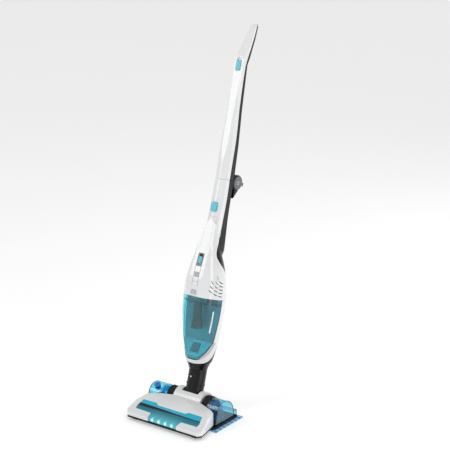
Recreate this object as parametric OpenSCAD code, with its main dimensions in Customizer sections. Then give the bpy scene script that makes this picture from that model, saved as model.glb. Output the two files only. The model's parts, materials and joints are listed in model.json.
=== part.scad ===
// Wet dry floor scrubber: powered floor head with a wet mop module, a folding
// upright and a detachable hand unit. +Z is up and the front faces -Y.

/* [Overall] */
// Width across the front of the floor head, mm
head_width = 266; // [246:2:290]
// Distance from the tilt pivot to the end of the handle, mm
stick_length = 1092; // [1020:4:1160]
// Backward lean of the parked upright, degrees
park_lean = 17; // [14:0.5:20]

/* [Floor head] */
// Diameter over the bristles of the floor brush, mm
brush_diameter = 34; // [30:1:35]
// Diameter of the two rear wheels, mm
wheel_diameter = 56; // [54:1:60]
// Height of the top of the head cover above the floor, mm
cover_height = 56; // [54:1:60]
// Wall thickness of the plastic housings, mm
wall = 2.6; // [2.2:0.2:3]

/* [Mop module] */
// Height of the water tank above its base plate, mm
tank_height = 62; // [50:1:64]
// Length of the mop cloth across the machine, mm
cloth_length = 278; // [262:2:290]
// Depth of the mop cloth, front to back, mm
cloth_depth = 133; // [120:1:136]
// Thickness of the mop cloth, mm
cloth_thickness = 4; // [3:0.5:4.5]

/* [Body] */
// Largest radius of the body bulge, mm
body_radius = 61; // [58:0.5:63]
// Wall thickness of the clear dust cup, mm
cup_wall = 2.2; // [1.8:0.2:2.6]
// Width of the fold joint across its two cheeks, mm
hinge_width = 38; // [36:1:42]
// Diameter of the round fold joint, mm
hinge_diameter = 44; // [40:1:46]

/* [Hidden] */
$fn = 48;

white = [0.93, 0.93, 0.94];
black = [0.10, 0.10, 0.11];
grey = [0.45, 0.45, 0.47];
steel = [0.72, 0.73, 0.75];
aqua = [0.15, 0.68, 0.82];
teal = [0.10, 0.50, 0.60, 0.6];
clear_blue = [0.35, 0.75, 0.88, 0.6];
brass = [0.80, 0.65, 0.30];
green = [0.10, 0.35, 0.20];

// Clearances
run_gap = 0.05;
slip = 0.3;
part_gap = 0.4;

// Floor head, measured from the tilt pivot (y) and the floor (z)
plate_top = cloth_thickness + 6.2;
wheel_r = wheel_diameter / 2;
axle_z = plate_top + slip + wheel_r;
head_half = head_width / 2;
rear_half = head_half - 15.5;
front_y = -146;
side_rear_y = -60;
rear_y = -34;
cover_base = 13;
front_floor = 8;
rear_floor = plate_top + 0.8;
step_y = -74;
slope_low_y = -128;
slope_high_y = -92;
brush_y = -100;
brush_r = brush_diameter / 2;
brush_z = brush_r + 1.5;
brush_half = rear_half - 28;
core_r = 10;
stub_r = 4;
bearing_in = brush_half + 0.5;
bearing_out = brush_half + 5.5;
pulley_in = bearing_out + 1;
pulley_out = pulley_in + 7;
brush_pulley_r = 9;
motor_pulley_r = 5;
motor_y = -66;
motor_z = 31;
motor_r = 11;
belt_thick = 1.6;
drum_r = 30.5;
drum_half = 37.5;
fender_in = 31.2;
fender_out = 34;
fender_half = 48;
cheek_in = 41;
cheek_out = 45;
tilt_pin_r = 5;
axle_r = 3;
wheel_in = 50.5;
wheel_out = 75.5;
roller_y = -134;
roller_x = head_half - 28;
roller_r = 6;
led_pitch = 23;

// Upright, measured in its own frame: y to the back, z along the stick
seam_z = 645;
fold_y = 4;
fold_z = 640;
fold_r = hinge_diameter / 2;
cheek_half = hinge_width / 2;
knuckle_half = cheek_half - 7;
extra = stick_length - 1092;
bulge_tilt = 8.3;
cup_top = 306;
toe_z = 119;
grip_half = 13.9;
motor_v = -56;
belly_v = 22;
neck_flat = 5;
neck_r = 22;
spigot_r = 19;
bore_r = 16;

// Whole machine centred on the origin
tip_y = -11 * cos(park_lean) + stick_length * sin(park_lean);
centre_y = (tip_y + front_y - 3.5) / 2;

module in_head() {
  translate([0, -centre_y, 0]) children();
}

module in_stick() {
  translate([0, -centre_y, axle_z]) rotate([-park_lean, 0, 0]) children();
}

// A side view shape in (y, z), stretched along X
module along_x(width) {
  rotate([90, 0, 90]) translate([0, 0, -width / 2]) linear_extrude(width) children();
}

// A front view shape in (x, z), stretched along Y
module along_y(depth) {
  rotate([90, 0, 0]) translate([0, 0, -depth / 2]) linear_extrude(depth) children();
}

module rod_x(r, x0, x1, y, z) {
  translate([x0, y, z]) rotate([0, 90, 0]) cylinder(r = r, h = x1 - x0);
}

function between(a, b, c, d, t) = 0.5 * (2 * b + (c - a) * t
  + (2 * a - 5 * b + 4 * c - d) * t * t + (3 * b - a - 3 * c + d) * t * t * t);

// A smooth line through the points p, with n steps from each to the next
function bend(p, n = 2) = let (m = len(p) - 1) [for (i = [0 : m * n])
  let (k = min(floor(i / n), m - 1), t = i / n - k)
  between(p[max(k - 1, 0)], p[k], p[k + 1], p[min(k + 2, m)], t)];

// The line p moved to its right by g
function aside(p, g) = let (m = len(p) - 1) [for (i = [0 : m])
  let (d = p[min(i + 1, m)] - p[max(i - 1, 0)])
  p[i] + g * [d[1], -d[0]] / norm(d)];

// A height on the handle, which keeps its share of the way from the seam to the grip
function rise(z) = seam_z + (z - seam_z) * (325 + extra) / 325;

// Corners of a plate of width w and height h, rounded with the radius r
function round_box(w, h, r) = [for (q = [0 : 3], i = [0 : 5])
  let (a = 90 * q + 18 * i, side = q == 0 || q == 3 ? 1 : -1, up = q < 2 ? 1 : -1)
  [side * (w / 2 - r) + r * cos(a), up * (h / 2 - r) + r * sin(a)]];

module both_sides() {
  children();
  mirror([1, 0, 0]) children();
}

module block(x0, x1, y0, y1, z0, z1) {
  translate([x0, y0, z0]) cube([x1 - x0, y1 - y0, z1 - z0]);
}

// A rounded plate that faces the front, from y0 back to y1, with its middle at height z
module front_plate(w, h, r, y0, y1, z) {
  translate([0, (y0 + y1) / 2, z]) along_y(y1 - y0) polygon(round_box(w, h, r));
}

// ---------------------------------------------------------------- head shapes

module cover_plan(g) {
  polygon([[-head_half + g, front_y + 12], [-head_half + 8 + g, front_y + g],
    [head_half - 8 - g, front_y + g], [head_half - g, front_y + 12],
    [rear_half - g, side_rear_y - 0.5 * g], [fender_half, rear_y - 1.1 * g],
    [fender_half, -20 - g], [-fender_half, -20 - g], [-fender_half, rear_y - 1.1 * g],
    [-rear_half + g, side_rear_y - 0.5 * g]]);
}

module cover_solid(g, low) {
  drop = 1.15 * g;
  intersection() {
    translate([0, 0, low]) linear_extrude(90) cover_plan(g);
    along_x(400) polygon([[front_y + g, 0], [front_y + g, 24 - drop],
      [slope_low_y, 30 - drop], [slope_high_y, cover_height - 6 - drop],
      [-72, cover_height - 0.5 - drop], [-42, cover_height - drop],
      [-20, cover_height - 1 - drop], [-20, 0]]);
    along_y(400) polygon([[-head_half + g, 0], [-head_half + g, 31 - drop],
      [-head_half + 5 + g, 43 - drop], [-head_half + 14 + g, 50 - drop],
      [-head_half + 30, 55 - drop], [-60, cover_height + 1 - drop],
      [60, cover_height + 1 - drop], [head_half - 30, 55 - drop],
      [head_half - 14 - g, 50 - drop], [head_half - 5 - g, 43 - drop],
      [head_half - g, 31 - drop], [head_half - g, 0]]);
  }
}

module window_plan(g) {
  w = head_half - 22;
  polygon([[-w + 2 - g, -126 - g], [-w - g, -118], [-w + 6 - g, -95 + g],
    [-58 + g, -94 + g], [-50 + g, -100 + g], [50 - g, -100 + g], [58 - g, -94 + g],
    [w - 6 + g, -95 + g], [w + g, -118], [w - 2 + g, -126 - g], [54 + g, -127 - g],
    [49 + g, front_y - 6], [-49 - g, front_y - 6], [-54 - g, -127 - g]]);
}

module belt_shape(grow) {
  dy = motor_y - brush_y;
  dz = motor_z - brush_z;
  span = sqrt(dy * dy + dz * dz);
  dir = atan2(dz, dy);
  r1 = brush_pulley_r + grow;
  r2 = motor_pulley_r + grow;
  turn = 90 - asin((r1 - r2) / span);
  big = [for (k = [0 : 30]) let (a = turn + k * (360 - 2 * turn) / 30)
    [r1 * cos(a), r1 * sin(a)]];
  small = [for (k = [0 : 20]) let (a = -turn + k * 2 * turn / 20)
    [span + r2 * cos(a), r2 * sin(a)]];
  translate([brush_y, brush_z]) rotate(dir) polygon(concat(big, small));
}

// ---------------------------------------------------------------- head pieces

module head_base() {
  color(black) in_head() difference() {
    union() {
      difference() {
        union() {
          intersection() {
            translate([0, 0, front_floor]) linear_extrude(cover_base - front_floor)
              cover_plan(0.5);
            block(-200, 200, -200, step_y, 0, 50);
          }
          intersection() {
            translate([0, 0, rear_floor]) linear_extrude(cover_base - rear_floor)
              cover_plan(0.5);
            block(-200, 200, step_y, rear_y - 1, 0, 50);
          }
        }
        intersection() {
          translate([0, 0, front_floor + 2.5]) linear_extrude(20) cover_plan(4);
          block(-200, 200, -200, step_y - 2.5, 0, 50);
        }
        intersection() {
          translate([0, 0, rear_floor + 2]) linear_extrude(20) cover_plan(4);
          block(-200, 200, step_y - 2.5, rear_y - 3, 0, 50);
        }
      }
      // Brush chamber walls and bearing plates
      block(-bearing_out, bearing_out, brush_y - brush_r - 4.5, brush_y - brush_r - 2.5,
        front_floor, 22);
      block(-bearing_out, bearing_out, brush_y + brush_r + 2.5, brush_y + brush_r + 4.5,
        front_floor, 30);
      both_sides() block(bearing_in, bearing_out, brush_y - brush_r - 4.5,
        brush_y + brush_r + 4.5, front_floor, brush_z + 9);
      // Floor under the tilt drum and the two pivot cheeks
      block(-47, 47, rear_y - 6, 27, rear_floor, rear_floor + 1.8);
      both_sides() translate([(cheek_in + cheek_out) / 2, 0, 0])
        along_x(cheek_out - cheek_in) {
          polygon([[-21, rear_floor], [21, rear_floor], [16, axle_z], [-16, axle_z]]);
          translate([0, axle_z]) circle(r = 16);
        }
      // Motor cradle
      block(-88, -54, motor_y - 8, motor_y + 8, rear_floor, motor_z - 6);
      // Lugs of the front rollers
      both_sides() for (x = [roller_x - 10.5, roller_x + 7.5])
        block(x, x + 3, roller_y - 4, roller_y + 4, 3.5, front_floor + 2.5);
    }
    block(-brush_half - 0.5, brush_half + 0.5, brush_y - brush_r - 2.5,
      brush_y + brush_r + 2.5, 0, 60);
    both_sides() rod_x(stub_r + run_gap, bearing_in - 1, bearing_out + 1, brush_y, brush_z);
    both_sides() rod_x(tilt_pin_r, cheek_in - 1, cheek_out + 1, 0, axle_z);
    rod_x(motor_r + 0.05, -100, -40, motor_y, motor_z);
    // Room for the pulleys and the belt
    block(-pulley_out - 0.6, -pulley_in + 0.6, brush_y - brush_pulley_r - 3,
      brush_y + brush_pulley_r + 5, brush_z - brush_pulley_r - 2.5, 60);
    both_sides() rod_x(1.5 + run_gap, roller_x - 11, roller_x + 11, roller_y, roller_r);
    both_sides() block(roller_x - 7.5, roller_x + 7.5, roller_y - 7, roller_y + 7, 0, 13);
    // Way out for the duct
    block(-23.1, 23.1, -70, -20, rear_floor + 2, 60);
    // Pockets for the mop clips
    both_sides() block(60 - 7.4, 60 + 7.4, -66.4, -57.6, 0, 60);
  }
}

module head_cover() {
  color(white) in_head() difference() {
    union() {
      difference() {
        cover_solid(0, cover_base);
        cover_solid(wall, 0);
      }
      intersection() {
        rod_x(fender_out, -fender_half, fender_half, 0, axle_z);
        block(-60, 60, -60, 60, cover_base, 120);
      }
    }
    rod_x(fender_in, -fender_half + 2.4, fender_half - 2.4, 0, axle_z);
    block(-fender_half + 2.4, fender_half - 2.4, -33.9, 22, 0, axle_z - 8);
    // Slot the neck swings in
    block(-29.2, 29.2, -15.4, 45, axle_z - 14, 120);
    // Way out for the duct and the axles
    block(-25, 25, -60, -20, 0, 44);
    both_sides() block(fender_half - 4, fender_half + 1, -3.6, 3.6, 0, axle_z);
    both_sides() rod_x(3.6, fender_half - 4, fender_half + 1, 0, axle_z);
    translate([0, 0, cover_base]) linear_extrude(80) window_plan(0.25);
  }
}

module head_window() {
  color(teal) in_head() intersection() {
    difference() {
      cover_solid(0, cover_base + 1);
      cover_solid(wall, 0);
    }
    translate([0, 0, cover_base + 1]) linear_extrude(80) window_plan(0);
  }
}

module window_trim() {
  w = head_half - 28;
  color(black) in_head() intersection() {
    difference() {
      cover_solid(wall + 0.1, 20);
      cover_solid(wall + 1.1, 0);
    }
    linear_extrude(80) polygon([[-w, -117], [-w, -103], [-w + 40, -105],
      [w, -121], [w, -124], [20, -121]]);
  }
}

module front_bumper() {
  color(black) in_head()
    block(-head_half + 10, head_half - 10, front_y - 3, front_y + 0.5, front_floor + 1, cover_base - 1);
}

module led_board() {
  color(green) in_head()
    block(-1.9 * led_pitch, 1.9 * led_pitch, front_y + 6, front_y + 7.6, front_floor + 2.5, 21.5);
}

module led_lamps() {
  color([0.95, 0.98, 1]) in_head()
    for (k = [-1.5, -0.5, 0.5, 1.5])
      translate([k * led_pitch, front_y + 6, 19]) rotate([90, 0, 0]) cylinder(r = 2, h = 3);
}

module brush_core() {
  color(grey) in_head() {
    rod_x(core_r, -brush_half, brush_half, brush_y, brush_z);
    rod_x(stub_r, -pulley_out, bearing_out, brush_y, brush_z);
  }
}

module brush_bristles() {
  color(aqua) in_head() translate([0, brush_y, brush_z]) for (k = [0 : 5])
    rotate([k * 60 + 15, 0, 0])
      block(-brush_half + 2, brush_half - 2, -1.6, 1.6, core_r, brush_r);
}

module brush_pulley() {
  color(grey) in_head() difference() {
    rod_x(brush_pulley_r, -pulley_out, -pulley_in, brush_y, brush_z);
    rod_x(stub_r, -pulley_out - 1, -pulley_in + 1, brush_y, brush_z);
  }
}

module drive_belt() {
  color(black) in_head() translate([-(pulley_in + pulley_out) / 2, 0, 0]) difference() {
    along_x(5) belt_shape(slip + belt_thick);
    along_x(6) belt_shape(slip);
  }
}

module brush_motor() {
  color(steel) in_head() difference() {
    union() {
      rod_x(motor_r, -brush_half + 2, -brush_half + 48, motor_y, motor_z);
      rod_x(4, -brush_half, -brush_half + 2, motor_y, motor_z);
    }
    rod_x(1.5 + run_gap, -brush_half - 2, -brush_half + 20, motor_y, motor_z);
  }
}

module motor_pulley() {
  color(brass) in_head() {
    rod_x(motor_pulley_r, -pulley_out, -pulley_in, motor_y, motor_z);
    rod_x(1.5, -pulley_in, -brush_half + 18, motor_y, motor_z);
  }
}

module head_duct() {
  color(black) in_head() difference() {
    block(-23, 23, brush_y + brush_r + 4.5, rear_y - 0.5, rear_floor + 2, 42);
    block(-21, 21, brush_y + brush_r + 4, rear_y, rear_floor + 4, 40);
  }
}

module wheel_hub() {
  difference() {
    union() {
      rod_x(wheel_r - 6, wheel_in + 3, wheel_out - 2, 0, axle_z);
      rod_x(8, wheel_in, wheel_out, 0, axle_z);
    }
    rod_x(axle_r + run_gap, wheel_in - 1, wheel_out + 1, 0, axle_z);
  }
}

module wheel_tyre() {
  difference() {
    rod_x(wheel_r, wheel_in, wheel_out, 0, axle_z);
    rod_x(wheel_r - 6, wheel_in - 1, wheel_out + 1, 0, axle_z);
  }
}

module wheel_hub_left() {
  color(grey) in_head() mirror([1, 0, 0]) wheel_hub();
}

module wheel_hub_right() {
  color(grey) in_head() wheel_hub();
}

module wheel_tyre_left() {
  color(black) in_head() mirror([1, 0, 0]) wheel_tyre();
}

module wheel_tyre_right() {
  color(black) in_head() wheel_tyre();
}

module pivot_pins() {
  color(steel) in_head() both_sides() {
    rod_x(tilt_pin_r, 25, cheek_out, 0, axle_z);
    rod_x(axle_r, cheek_out, wheel_out + 1.5, 0, axle_z);
    rod_x(6, wheel_out + 0.5, wheel_out + 2.5, 0, axle_z);
  }
}

module front_roller() {
  rod_x(roller_r, roller_x - 7, roller_x + 7, roller_y, roller_r);
  rod_x(1.5, roller_x - 10, roller_x + 10, roller_y, roller_r);
}

module front_roller_left() {
  color(black) in_head() mirror([1, 0, 0]) front_roller();
}

module front_roller_right() {
  color(black) in_head() front_roller();
}

// ---------------------------------------------------------------- neck

module neck_outline(g) {
  for (x = [-neck_flat, neck_flat]) translate([x, 0]) circle(r = neck_r + g);
  translate([-neck_flat, -neck_r - g]) square([2 * neck_flat, 2 * (neck_r + g)]);
}

module neck_yoke() {
  color(black) in_stick() difference() {
    union() {
      difference() {
        rod_x(drum_r, -drum_half, drum_half, 0, 0);
        rod_x(drum_r - 2.5, -drum_half + 2.5, drum_half - 2.5, 0, 0);
        block(-60, 60, -60, 60, -60, 0);
      }
      both_sides() rod_x(9, drum_half - 12, drum_half, 0, 0);
      translate([0, 0, 20]) linear_extrude(27) neck_outline(0);
    }
    translate([0, 0, -1]) cylinder(r = spigot_r + 0.08, h = 60);
    translate([0, 0, 36.7]) cylinder(r = spigot_r + 1.9, h = 4.6);
    both_sides() rod_x(tilt_pin_r + run_gap, 10, drum_half + 1, 0, 0);
  }
}

module neck_tube() {
  color(black) in_stick() difference() {
    union() {
      translate([0, 0, 47.5]) linear_extrude(3) neck_outline(1.5);
      translate([0, 0, 47.5]) linear_extrude(46) neck_outline(0);
      translate([0, 0, 26]) cylinder(r = spigot_r, h = 30);
      translate([0, 0, 90]) cylinder(r = 18, h = 18);
    }
    translate([0, 0, 20]) cylinder(r = bore_r, h = 100);
    difference() {
      translate([0, 0, 37]) cylinder(r = spigot_r + 2, h = 4);
      translate([0, 0, 36]) cylinder(r = spigot_r - 1, h = 6);
    }
  }
}

module swivel_ring() {
  color(steel) in_stick() difference() {
    translate([0, 0, 37.4]) cylinder(r = spigot_r + 1.6, h = 3.2);
    translate([0, 0, 36]) cylinder(r = spigot_r - 1, h = 6);
  }
}

// ---------------------------------------------------------------- body form

module bulge(g) {
  k = body_radius;
  translate([0, -9, 150]) rotate([bulge_tilt, 0, 0]) rotate_extrude($fn = 64)
    polygon(concat([[0, -60 + g]], bend([[0.43 * k - g, -60 + g], [0.47 * k - g, -50],
      [0.54 * k - g, -40], [0.63 * k - g, -30], [0.72 * k - g, -10], [0.79 * k - g, 15],
      [0.86 * k - g, 38], [0.95 * k - g, 85], [k - g, 130], [0.985 * k - g, 180],
      [0.95 * k - g, 205], [0.885 * k - g, 227], [0.79 * k - g, 252], [0.66 * k - g, 277],
      [0.55 * k - g, 305], [0.45 * k - g, 335], [0.32 * k - g, 365]]), [[0, 388 - g]]));
}

module spine(g) {
  intersection() {
    translate([0, -34, 430]) rotate_extrude($fn = 64) polygon([[0, g], [31 - g, g],
      [34 - g, 15], [31 - g, 60], [28.5 - g, 100], [27.5 - g, 130], [26.5 - g, 215 - g],
      [0, 215 - g]]);
    along_y(400) polygon([[-36 + g, 430], [-30 + g, 473], [-25.5 + g, 500],
      [-23.5 + g, 530], [-22.5 + g, 560], [-20.5 + g, 645], [20.5 - g, 645],
      [22.5 - g, 560], [23.5 - g, 530], [25.5 - g, 500], [30 - g, 473], [36 - g, 430]]);
  }
}

module side_low(g) {
  front = [[-29 + g, 90 + g], [-36 + g, 105], [-44 + g, 118], [-51 + g, 150],
    [-57 + g, 181], [-64 + g, 204], [-72 + g, 230], [-80 + g, 262], [-87 + g, 295],
    [-91 + g, 325], [-92 + g, 350], [-90 + g, 375], [-86 + g, 405], [-80 + g, 440],
    [-74 + g, 465], [-68 + g, 500], [-64 + g, 530], [-63 + g, 560], [-63 + g, 645 - g]];
  back = [[-5 - g, 645 - g], [-4 - g, 560], [-9 - g, 515], [-14 - g, 480], [-18 - g, 450],
    [-18 - g, 425], [-10 - g, 403], [0 - g, 383], [13 - g, 360], [24 - g, 337],
    [31 - g, 313], [34 - g, 290], [33 - g, 262], [32 - g, 230], [30 - g, 200],
    [29 - g, 175], [28 - g, 150], [27 - g, 125], [25 - g, 105], [22 - g, 90 + g]];
  polygon(concat(bend(front), bend(back)));
}

module body_form(g) {
  intersection() {
    union() {
      bulge(g);
      spine(g);
    }
    along_x(200) side_low(g);
  }
}

// Space of the hand unit seen from the side; g moves its back edge backwards
module hand_side(g) {
  edge = [[-80, 446 + g], [-62 + 0.86 * g, 410 + 0.5 * g], [-38 + 0.86 * g, 375 + 0.5 * g],
    [-14 + g, 335], [-12 + g, 300], [-10 + g, 246], [-8 + g, 187],
    [-20 + 0.8 * g, 152 - 0.6 * g], [-38 + 0.6 * g, 126 - 0.8 * g], [-52, toe_z - g]];
  polygon(concat([[-130, 446 + g]], bend(edge), [[-130, toe_z - g]]));
}

module belly(g) {
  along_x(2 * (38 + g)) polygon([[-30, 192 - g], [belly_v + g, 192 - g], [belly_v + g, 321 + g],
    [-14, 336 + g], [-30, 336 + g]]);
}

module handle_bar(g) {
  block(-grip_half - g, grip_half + g, -130, -44.5 + g, 430, 537 + g);
}

module hand_space(g) {
  along_x(300) hand_side(g);
  belly(g);
  handle_bar(g + part_gap);
}

// Everything behind the line between the white and the black housing
module black_side() {
  line = [[-38, 645], [-37, 600], [-40, 541], [-46, 494], [-52, 471], [-60, 447],
    [-60, 424], [-42, 402], [-14, 379], [6, 356], [12, 335], [8, 300], [6, 245],
    [9, 187], [2, 152], [-14, 124], [-38, 112], [-80, 105]];
  polygon(concat([[-38, 660]], bend(line), [[-80, 60], [90, 60], [90, 660]]));
}

module hinge_room() {
  rod_x(fold_r + run_gap, -cheek_half, cheek_half, fold_y, fold_z);
  rod_x(fold_r + 0.6, -knuckle_half - slip, knuckle_half + slip, fold_y, fold_z);
}

module frame_solid() {
  difference() {
    body_form(0);
    hand_space(0);
    hinge_room();
    block(-60, 60, -120, 60, 644.7, 700);
    // Seat of the release button
    front_plate(19.6 + 2 * slip, 27 + 2 * slip, 5 + slip, -70, -46, 564);
  }
}

module frame_hollow() {
  difference() {
    body_form(wall);
    hand_space(wall);
    rod_x(fold_r + wall, -30, 30, fold_y, fold_z);
    block(-60, 60, -120, 60, 642, 700);
    block(-12.7, 12.7, -70, -43.4, 547.6, 580.4);
  }
}

module base_socket() {
  color(black) in_stick() difference() {
    intersection() {
      body_form(0);
      along_x(200) black_side();
      block(-80, 80, -80, 80, 93.5, 132);
    }
    difference() {
      intersection() {
        body_form(3);
        block(-80, 80, -80, 80, 110, 140);
      }
      translate([0, -4, 100]) cylinder(r = 16, h = 60);
      along_x(300) hand_side(3);
    }
    translate([0, 0, 80]) cylinder(r = 18, h = 28);
    translate([0, -4, 107]) cylinder(r = 13.4, h = 60);
    along_x(300) hand_side(0);
  }
}

module frame_front() {
  color(white) in_stick() difference() {
    frame_solid();
    frame_hollow();
    difference() {
      along_x(200) black_side();
      handle_bar(wall + part_gap);
    }
    // Air passage to the hand unit
    translate([0, -4, 100]) cylinder(r = 13.4, h = 90);
  }
}

module frame_back() {
  color(black) in_stick() difference() {
    intersection() {
      frame_solid();
      along_x(200) black_side();
      block(-80, 80, -120, 80, 132, 700);
    }
    frame_hollow();
    handle_bar(wall + part_gap);
    contact_row(6);
    screw_row(10);
    translate([0, -4, 100]) cylinder(r = 13.4, h = 90);
  }
}

module release_button() {
  color(aqua) in_stick() {
    front_plate(19.6, 27, 5, -65, -58, 564);
    block(-4, 4, -58, -54, 556, 572);
  }
}

module release_spring() {
  color(steel) in_stick() translate([0, -54, 564]) rotate([-90, 0, 0]) difference() {
    cylinder(r = 3, h = 8);
    translate([0, 0, -1]) cylinder(r = 2, h = 10);
  }
}

module hinge_bracket() {
  color(black) in_stick() difference() {
    union() {
      both_sides() rod_x(fold_r, knuckle_half + slip, cheek_half, fold_y, fold_z);
      along_x(hinge_width) polygon([[-3.8, 594], [-3.8, 632], [fold_y + 14, 628],
        [fold_y + 9, 616]]);
    }
    rod_x(fold_r + 0.6, -knuckle_half - slip, knuckle_half + slip, fold_y, fold_z);
    rod_x(tilt_pin_r, -30, 30, fold_y, fold_z);
  }
}

module contact_row(h) {
  for (x = [-14, 14]) translate([x, belly_v + 0.3, 290]) rotate([-90, 0, 0])
    cylinder(r = 2.5, h = h);
}

module frame_contacts() {
  color(brass) in_stick() contact_row(4);
}

// Screw places on the back: height along the stick, depth of the back surface
back_screws = [[600, -5.4], [568, -4.9], [240, 31.4], [175, 28.4]];

module screw_row(clear) {
  for (p = back_screws) translate([0, p[1], p[0]]) rotate([90, 0, 0]) {
    translate([0, 0, -clear]) cylinder(r = 3, h = 1.8 + clear);
    cylinder(r = 1.5, h = 6);
  }
}

module case_screws() {
  color(steel) in_stick() screw_row(0);
}

// ---------------------------------------------------------------- handle

module handle_side(g) {
  e = extra;
  polygon([[-63 + g, 645 + g], [-63 + g, 985 + e], [-58 + g, 1005 + e],
    [-49 + g, 1030 + e], [-37 + g, 1056 + e], [-25 + g, 1080 + e], [-18 + g, 1092 + e - g],
    [-11 - g, 1092 + e - g], [-16 - g, 1064 + e], [-21 - g, 1040 + e], [-26 - g, 1016 + e],
    [-32 - g, 992 + e], [-36 - g, 970 + e], [-35 - g, rise(930)], [-31 - g, rise(880)],
    [-27 - g, rise(830)], [-22 - g, rise(790)], [-16 - g, rise(750)], [-11 - g, rise(700)],
    [-7 - g, rise(660)], [-5 - g, 645 + g]]);
}

module handle_form(g) {
  top = 305 + extra;
  lean = atan2(16, top);
  intersection() {
    along_x(100) handle_side(g);
    union() {
      translate([0, -34, 645]) rotate([lean, 0, 0]) rotate_extrude($fn = 64)
        polygon([[0, -5], [27 - g, -5], [25.5 - g, 0.328 * top], [21 - g, 0.656 * top],
          [18.5 - g, top], [17 - g, top + 60], [0, top + 60]]);
      translate([0, -57, 957 + extra]) rotate([-17.5, 0, 0]) rotate_extrude($fn = 64)
        polygon([[0, 0], [18 - g, 0], [18 - g, 40], [14 - g, 100], [10 - g, 135], [0, 150]]);
    }
    along_y(400) polygon([[-20.5 + g, 640], [-19.5 + g, rise(750)], [-16 + g, rise(850)],
      [-15 + g, 960 + extra], [-12.5 + g, 1050 + extra], [-8 + g, 1100 + extra],
      [8 - g, 1100 + extra], [12.5 - g, 1050 + extra], [15 - g, 960 + extra],
      [16 - g, rise(850)], [19.5 - g, rise(750)], [20.5 - g, 640]]);
  }
}

module handle_black() {
  e = extra;
  polygon([[-38, 640], [-38, 645], [-38, rise(700)], [-38.5, rise(750)], [-40, rise(790)],
    [-43, rise(830)], [-46.5, rise(880)], [-49, rise(930)], [-49, 970 + e], [-44, 992 + e],
    [-37, 1016 + e], [-31, 1040 + e], [-25, 1064 + e], [-15, 1100 + e], [60, 1100 + e],
    [60, 640]]);
}

module slider_room(g) {
  front_plate(15.8 + 2 * slip + 2 * g, 38 + 2 * g, 4.2 + slip + g, -70, -58.5 + g, 971 + extra);
}

module handle_cuts() {
  rod_x(fold_r + run_gap, -knuckle_half, knuckle_half, fold_y, fold_z);
  both_sides() rod_x(fold_r + 0.6, knuckle_half, 40, fold_y, fold_z);
  block(-60, 60, -120, 60, 600, 645.3);
}

module handle_front() {
  color(white) in_stick() difference() {
    handle_form(0);
    difference() {
      handle_form(wall);
      block(-60, 60, -120, 60, 600, 648);
      rod_x(fold_r + wall, -40, 40, fold_y, fold_z);
      slider_room(wall);
    }
    handle_cuts();
    along_x(200) handle_black();
    slider_room(0);
  }
}

module handle_back() {
  color(black) in_stick() difference() {
    intersection() {
      handle_form(0);
      along_x(200) handle_black();
    }
    difference() {
      handle_form(wall);
      block(-60, 60, -120, 60, 600, 648);
      rod_x(fold_r + wall, -40, 40, fold_y, fold_z);
    }
    handle_cuts();
  }
}

module handle_slider() {
  color(aqua) in_stick() {
    front_plate(15.8, 28, 4.2, -65, -58.8, 969 + extra);
    for (z = [960, 966, 972, 978]) block(-6, 6, -66, -65, z + extra, z + 2 + extra);
  }
}

module hinge_knuckle() {
  color(black) in_stick() difference() {
    rod_x(fold_r, -knuckle_half, knuckle_half, fold_y, fold_z);
    rod_x(tilt_pin_r + run_gap, -30, 30, fold_y, fold_z);
  }
}

module hinge_pin() {
  color(steel) in_stick() difference() {
    union() {
      rod_x(tilt_pin_r, -cheek_half, cheek_half + 4, fold_y, fold_z);
      rod_x(fold_r - 3, -cheek_half - 3, -cheek_half, fold_y, fold_z);
    }
    rod_x(2.5, -40, 40, fold_y, fold_z);
  }
}

module fold_lever() {
  color(grey) in_stick() translate([0, fold_y, fold_z]) difference() {
    union() {
      rod_x(fold_r - 3, cheek_half + slip, cheek_half + 4, 0, 0);
      rotate([-8, 0, 0])
        block(cheek_half + 2.2, cheek_half + 4, fold_r - 6, fold_r + 4, -5, 5);
    }
    rod_x(tilt_pin_r + run_gap, 0, 40, 0, 0);
  }
}

// ---------------------------------------------------------------- hand unit

module cup_side(g) {
  polygon([[-130, toe_z + 0.4 + g], [-41 - g, toe_z + 0.4 + g], [-40 - g, 134],
    [-22 - g, 180], [-29 - g, cup_top], [-130, cup_top]]);
}

module on_panel() {
  translate([0, -83.2, 412]) rotate([-9.7, 0, 0]) children();
}

module button_room(g) {
  block(-9 - g, 9 + g, -100, -80 + g, 312 - g, 324 + g);
}

module hand_shell() {
  color(white) in_stick() difference() {
    intersection() {
      body_form(0);
      union() {
        along_x(300) hand_side(-part_gap);
        handle_bar(0);
      }
      block(-80, 80, -130, 80, cup_top + slip, 600);
    }
    difference() {
      intersection() {
        body_form(wall);
        union() {
          along_x(300) hand_side(-part_gap - wall);
          block(-grip_half + wall, grip_half - wall, -130, -54, 430, 537 - wall);
        }
        block(-80, 80, -130, 80, cup_top + 3, 600);
      }
      button_room(wall);
    }
    // Intake of the suction motor, and the opening to the battery bay
    translate([0, motor_v, 300]) cylinder(r = 13, h = 14);
    belly(0.1);
    block(-grip_half - 1, grip_half + 1, -52, -40, 452, 540);
    button_room(slip);
    difference() {
      block(-10, 10, -130, -70, 338, 430);
      body_form(1.2);
    }
    on_panel() front_plate(12.4, 28.8, 3.8, -6, 8, 2);
    vent_slots();
  }
}

// Sector of a ring seen from the side, from angle a0 to a1 below the front
module ring_part(r, a0, a1) {
  turns = [for (i = [0 : 5]) a0 + (a1 - a0) * i / 5];
  outline = concat([for (a = turns) (r + 1.2) * [-cos(a), -sin(a)]],
    [for (i = [5 : -1 : 0]) (r - 1.2) * [-cos(turns[i]), -sin(turns[i])]]);
  translate([-38, 376]) polygon(outline);
}

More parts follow.
